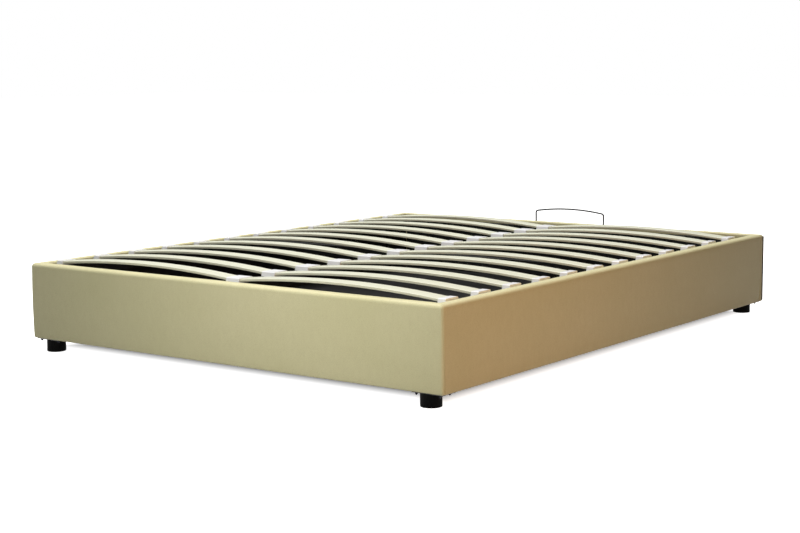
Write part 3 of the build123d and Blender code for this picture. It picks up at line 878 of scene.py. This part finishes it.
# Screws: pan heads with cross recesses in place of the plain ones; those that face down are sunk
head_radius = 5.5 * mm
head_height = 3.0 * mm
dome_drop = 0.75 * head_height
neck_radius = 2.4 * mm
neck_end = 2 * head_height
recess_reach = 2.9 * mm
recess_arm = 0.62 * mm
recess_depth = 1.6 * mm
recess_pitch = 0.45 * mm
recess_rings = 7
rim_radii = [3.8 * mm, 4.6 * mm, 5.2 * mm, head_radius]
low_head_sink = 1.8 * mm
end_slack = 0.5 * mm
screw_sides = 40


def islands(mesh):
    """Groups of joined points of a mesh."""
    bm = bmesh.new()
    bm.from_mesh(mesh)
    seen = set()
    groups = []
    for first in bm.verts:
        if first.index in seen:
            continue
        seen.add(first.index)
        group = [first]
        for vert in group:
            for edge in vert.link_edges:
                other = edge.other_vert(vert)
                if other.index not in seen:
                    seen.add(other.index)
                    group.append(other)
        groups.append([vert.co.copy() for vert in group])
    bm.free()
    return groups


def screw_frame(points):
    """A screw's head end and the direction it points out of the work, from its outline."""
    low = Vector([min(point[axis] for point in points) for axis in range(3)])
    high = Vector([max(point[axis] for point in points) for axis in range(3)])
    size = high - low
    axis = max(range(3), key=lambda index: size[index])
    middle = (low + high) / 2
    others = [index for index in range(3) if index != axis]

    def reach(level):
        near = [point for point in points if abs(point[axis] - level) < end_slack]
        return max(math.hypot(*(point[index] - middle[index] for index in others)) for point in near)

    out = Vector((0, 0, 0))
    at_high = reach(high[axis]) > reach(low[axis])
    out[axis] = 1.0 if at_high else -1.0
    head = middle.copy()
    head[axis] = high[axis] if at_high else low[axis]
    return head, out


def recess(radius, angle):
    """How deep the cross recess is at a place on the head."""
    off_arm = radius * min(abs(math.cos(angle)), abs(math.sin(angle)))
    if radius >= recess_reach or off_arm >= recess_arm:
        return 0.0
    return recess_depth * math.sqrt(1 - radius / recess_reach)


def screw(bm, top, out, turn):
    """A dome with a cross pressed in, over a short neck that meets the work."""
    side, up = along_frame(out)
    angles = [2 * math.pi * step / screw_sides for step in range(screw_sides)]

    def ring(radius, heights):
        verts = []
        for angle, height in zip(angles, heights):
            offset = side * math.cos(angle + turn) + up * math.sin(angle + turn)
            verts.append(bm.verts.new(top + offset * radius + out * height))
        return verts

    centre = bm.verts.new(top - out * recess_depth)
    rings = []
    for radius in [recess_pitch * (index + 1) for index in range(recess_rings)] + rim_radii:
        dome = -dome_drop * (radius / head_radius) ** 2
        rings.append(ring(radius, [dome - recess(radius, angle) for angle in angles]))
    for radius, depth in ((head_radius, head_height), (neck_radius, head_height), (neck_radius, neck_end)):
        rings.append(ring(radius, [-depth] * screw_sides))
    for vert, following in zip(rings[0], rings[0][1:] + rings[0][:1]):
        bm.faces.new((centre, vert, following))
    join_rings(bm, rings)
    bm.faces.new(rings[-1])


def screws():
    """All screws, each turned by chance about its axis."""
    random.seed(11)
    bm = bmesh.new()
    for points in islands(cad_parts["screws"].data):
        head, out = screw_frame(points)
        if out.z < 0:
            head -= out * low_head_sink
        screw(bm, head, out, random.uniform(0, math.pi / 2))
    return outward_mesh(bm, "screws_cross_head")


piece = new_piece("screws_cross_head", screws(), dark_zinc, "base")
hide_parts("screws")

# Platform: weld beads where the tubes meet, and plugs in the side rails' open ends
bead_radius = 2.0 * mm
bead_pitch = 0.8 * mm
bead_margin = 2 * mm
ripple_share = 0.16
ripple_turn = 2.1
uneven_share = 0.1
bead_end_share = 0.35
bead_end_steps = 4
least_ripples = 6
tube_wall = 1.9 * mm
plug_neck = 10 * mm
plug_seat = 0.2 * mm
plug_radius = 2.2 * mm
least_plug_radius = 0.6 * mm
plug_radius_drop_share = 0.2
# Places outwards from the tube's end, and how far in from the tube's sides
plug_profile = [
    (-plug_neck, tube_wall), (-plug_seat, tube_wall), (-plug_seat, 0.0), (0.9 * mm, 0.0),
    (1.6 * mm, 0.5 * mm), (2.0 * mm, 1.6 * mm), (2.1 * mm, 5.0 * mm), (2.15 * mm, 9.0 * mm),
]


def bead(bm, start, end):
    """A weld bead: overlapping ripples along a joint."""
    run = Vector(end) - Vector(start)
    count = max(least_ripples, round(run.length / bead_pitch))
    points = [Vector(start) + run * (index / count) for index in range(count + 1)]
    radii = []
    for index in range(count + 1):
        ripple = 1 + ripple_share * math.sin(index * ripple_turn) + uneven_share * random.uniform(-1, 1)
        fade = min(1.0, bead_end_share + min(index, count - index) / bead_end_steps)
        radii.append(bead_radius * ripple * fade)
    sweep_rod(bm, points, radii, 8)


def weld_beads():
    """Upright beads at the tubes' joints, then level ones under the cross tubes' ends."""
    random.seed(5)
    bm = bmesh.new()
    bottom = foot_rail_low.z
    low = bottom + bead_margin
    high = foot_rail_high.z - bead_margin
    outer = foot_rail_high.x
    for x in (-outer, -centre_rail_edge, outer, centre_rail_edge):
        for y in (foot_rail_high.y, head_rail_low.y, cross_low.y, cross_high.y):
            bead(bm, (x, y, low), (x, y, high))
    tubes = ((foot_rail_low, foot_rail_high), (head_rail_low, head_rail_high), (cross_low, cross_high))
    for x in (-outer, outer):
        for tube_low, tube_high in tubes:
            bead(bm, (x, tube_low.y + bead_margin, bottom), (x, tube_high.y - bead_margin, bottom))
    return outward_mesh(bm, "weld_beads")


def rounded_outline(half_x, half_z, radius):
    """Points round a rectangle with round corners."""
    points = []
    for corner_x, corner_z, start in ((1, 1, 0), (-1, 1, 90), (-1, -1, 180), (1, -1, 270)):
        centre = (corner_x * (half_x - radius), corner_z * (half_z - radius))
        points += arc(centre, radius, start, start + 90, 5)
    return points


def tube_plugs():
    """A plug in each end of both side rails, its face a little domed."""
    bm = bmesh.new()
    middle_z = (foot_rail_low.z + foot_rail_high.z) / 2
    for node, inner, outward in (
        ("side_rail_left", foot_rail_low.x, -1), ("side_rail_right", foot_rail_high.x, 1),
    ):
        low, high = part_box(node)
        middle_x = inner + outward * rail_width / 2
        for end, out in ((low.y, -1), (high.y, 1)):
            rings = []
            for depth, inset in plug_profile:
                radius = max(least_plug_radius, plug_radius - inset * plug_radius_drop_share)
                outline = rounded_outline(rail_width / 2 - inset, rail_height / 2 - inset, radius)
                y = end + out * depth
                rings.append([bm.verts.new((middle_x + u, y, middle_z + v)) for u, v in outline])
            closed_sweep(bm, rings)
    return outward_mesh(bm, "tube_plugs")


new_piece("weld_beads", weld_beads(), powder_coat, "platform")
new_piece("tube_plugs", tube_plugs(), leg_plastic, "platform")

# Stage: a floor that shows white to the camera, with a painted shadow under the bed. Inwards from an
# outline a little larger than the bed's, its glow fades between two depths
floor_size = 60.0
floor_bounce = (0.2, 0.2, 0.2, 1)
floor_pale = (0.9, 0.9, 0.9, 1)
floor_shade = 0.3
shade_start = 98 * mm
shade_deep = 160 * mm
shade_centre = (-23 * mm, 40 * mm)
shade_reach = (65 * mm, 40 * mm)
sky_strength = 0.05


def floor_material():
    """Grey for the light that it throws back, but pale and glowing where the camera sees it, with a
    painted shadow under the bed.
    """
    recipe = Recipe("floor_paint")
    tree = recipe.tree
    parts = recipe.node("ShaderNodeSeparateXYZ", {0: recipe.place()}).outputs
    across = recipe.maths("ABSOLUTE", recipe.maths("SUBTRACT", parts[0], shade_centre[0]))
    beside = recipe.maths("SUBTRACT", across, half_width + shade_reach[0])
    along = recipe.maths("ABSOLUTE", recipe.maths("SUBTRACT", parts[1], shade_centre[1]))
    beyond = recipe.maths("SUBTRACT", along, half_length + shade_reach[1])
    outside = recipe.maths("MAXIMUM", beside, beyond)
    # Painted shadow: the glow fades down to floor_shade under the bed
    glow = recipe.between(outside, -shade_deep, -shade_start, floor_shade, 1.0)
    rays = recipe.node("ShaderNodeLightPath").outputs
    seen = recipe.maths("MAXIMUM", rays["Is Camera Ray"], rays["Is Glossy Ray"])
    seen = recipe.maths("MAXIMUM", seen, rays["Is Transmission Ray"])
    plain = recipe.node("ShaderNodeBsdfDiffuse", {"Color": floor_bounce})
    lit = recipe.node("ShaderNodeBsdfDiffuse", {"Color": floor_pale})
    shine = recipe.node("ShaderNodeEmission", {"Color": (1, 1, 1, 1), "Strength": glow})
    both = recipe.node("ShaderNodeAddShader", {0: lit.outputs[0], 1: shine.outputs[0]})
    mix = recipe.node("ShaderNodeMixShader", {0: seen, 1: plain.outputs[0], 2: both.outputs[0]})
    tree.nodes.remove(recipe.shader)
    tree.links.new(mix.outputs[0], tree.nodes["Material Output"].inputs["Surface"])
    return recipe.material


floor_mesh = bpy.data.meshes.new("floor")
corners = [(x * floor_size / 2, y * floor_size / 2, 0) for x, y in ((-1, -1), (1, -1), (1, 1), (-1, 1))]
floor_mesh.from_pydata(corners, [], [(0, 1, 2, 3)])
floor_mesh.materials.append(floor_material())
floor = bpy.data.objects.new("floor", floor_mesh)
bpy.context.scene.collection.objects.link(floor)


def sky():
    """A dim surround that shows white to the camera."""
    world = bpy.data.worlds.new("sky")
    world.use_nodes = True
    tree = world.node_tree
    rays = tree.nodes.new("ShaderNodeLightPath").outputs
    seen = tree.nodes.new("ShaderNodeMath")
    seen.operation = "MAXIMUM"
    tree.links.new(rays["Is Camera Ray"], seen.inputs[0])
    tree.links.new(rays["Is Transmission Ray"], seen.inputs[1])
    strength = tree.nodes.new("ShaderNodeMapRange")
    strength.inputs[3].default_value = sky_strength
    strength.inputs[4].default_value = 1.0
    tree.links.new(seen.outputs[0], strength.inputs[0])
    background = tree.nodes["Background"]
    background.inputs["Color"].default_value = (1, 1, 1, 1)
    tree.links.new(strength.outputs[0], background.inputs["Strength"])
    bpy.context.scene.world = world


sky()


def lamp(name, place, target, size, watts, tint):
    """A rectangular lamp at a place, turned to its target and hidden from the camera."""
    light = bpy.data.lights.new(name, "AREA")
    light.shape = "RECTANGLE"
    light.size, light.size_y = size
    light.energy = watts
    light.color = tint
    stand = bpy.data.objects.new(name, light)
    stand.location = place
    stand.rotation_euler = (Vector(target) - Vector(place)).to_track_quat("-Z", "Y").to_euler()
    stand.visible_camera = False
    bpy.context.scene.collection.objects.link(stand)


lamp(
    "overhead", place=(-1.3, 0.0, 6.0), target=(-0.8, 0.0, 0.3), size=(3.9, 3.4),
    watts=460, tint=(1.0, 1.0, 0.98),
)
lamp(
    "foot_side", place=(0.38, -2.1, 0.7), target=(0.28, -1.0, 0.2), size=(1.0, 0.5),
    watts=9.1, tint=(1.0, 1.0, 0.92),
)
lamp(
    "right_side", place=(2.6, -1.0, 0.65), target=(0.8, -0.5, 0.15), size=(0.9, 0.6),
    watts=13.4, tint=(1.0, 0.59, 0.29),
)

# Camera at the photograph's place, from the perspective of the bed's corners
eye = Vector((3.1544, -4.3445, 0.9102))
heading = math.radians(36.684)
downward = math.radians(7.348)
roll = math.radians(-0.490)
focal_pixels = 1601.0
photo_width_pixels = 800
sensor_width = 36
camera_data = bpy.data.cameras.new("camera")
camera_data.sensor_width = sensor_width
camera_data.lens = focal_pixels * sensor_width / photo_width_pixels
camera_data.clip_end = 100
camera = bpy.data.objects.new("camera", camera_data)
turn = Matrix.Rotation(heading, 4, "Z") @ Matrix.Rotation(math.pi / 2 - downward, 4, "X")
camera.matrix_world = Matrix.Translation(eye) @ turn @ Matrix.Rotation(roll, 4, "Z")
bpy.context.scene.collection.objects.link(camera)
bpy.context.scene.camera = camera
bpy.context.scene.view_settings.view_transform = "Standard"
